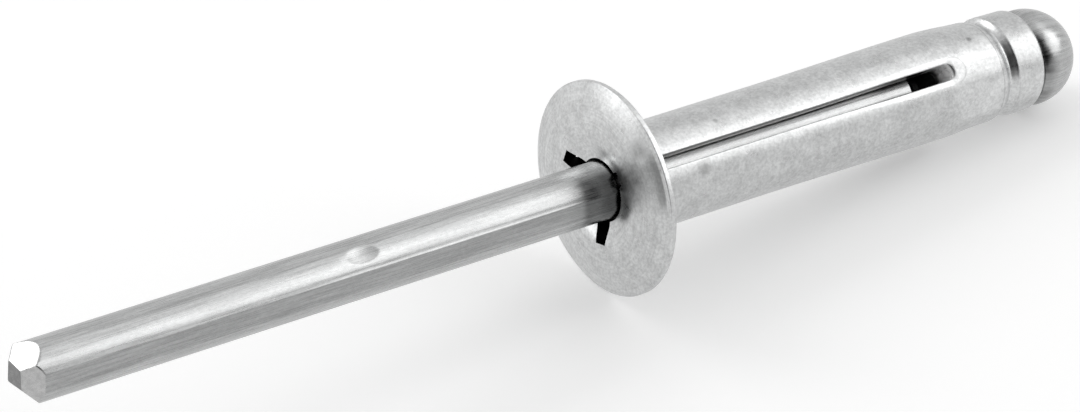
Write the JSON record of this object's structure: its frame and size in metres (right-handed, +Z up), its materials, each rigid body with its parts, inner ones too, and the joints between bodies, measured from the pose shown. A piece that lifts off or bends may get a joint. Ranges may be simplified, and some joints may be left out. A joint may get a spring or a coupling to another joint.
{
  "type": "pop rivet",
  "caption": "Unset blind rivet: a wide thin flange on a three-slot shank, crimped on a pointed mandrel with a domed head.",
  "frame": {"origin": "centre of the flange's bearing face, on the rivet's axis", "axes": "the rivet lies at rest on its flange's rim and its domed end; +X runs level from the stem's tip towards the domed end, +Z is up"},
  "size_m": [0.0608, 0.0106, 0.0106],
  "materials": {
    "rivet_body": "tumbled satin",
    "mandrel": "drawn and brushed along its length"
  },
  "bodies": {
    "root": {"rivet_body": "rivet_body", "mandrel": "mandrel"}
  },
  "joints": []
}
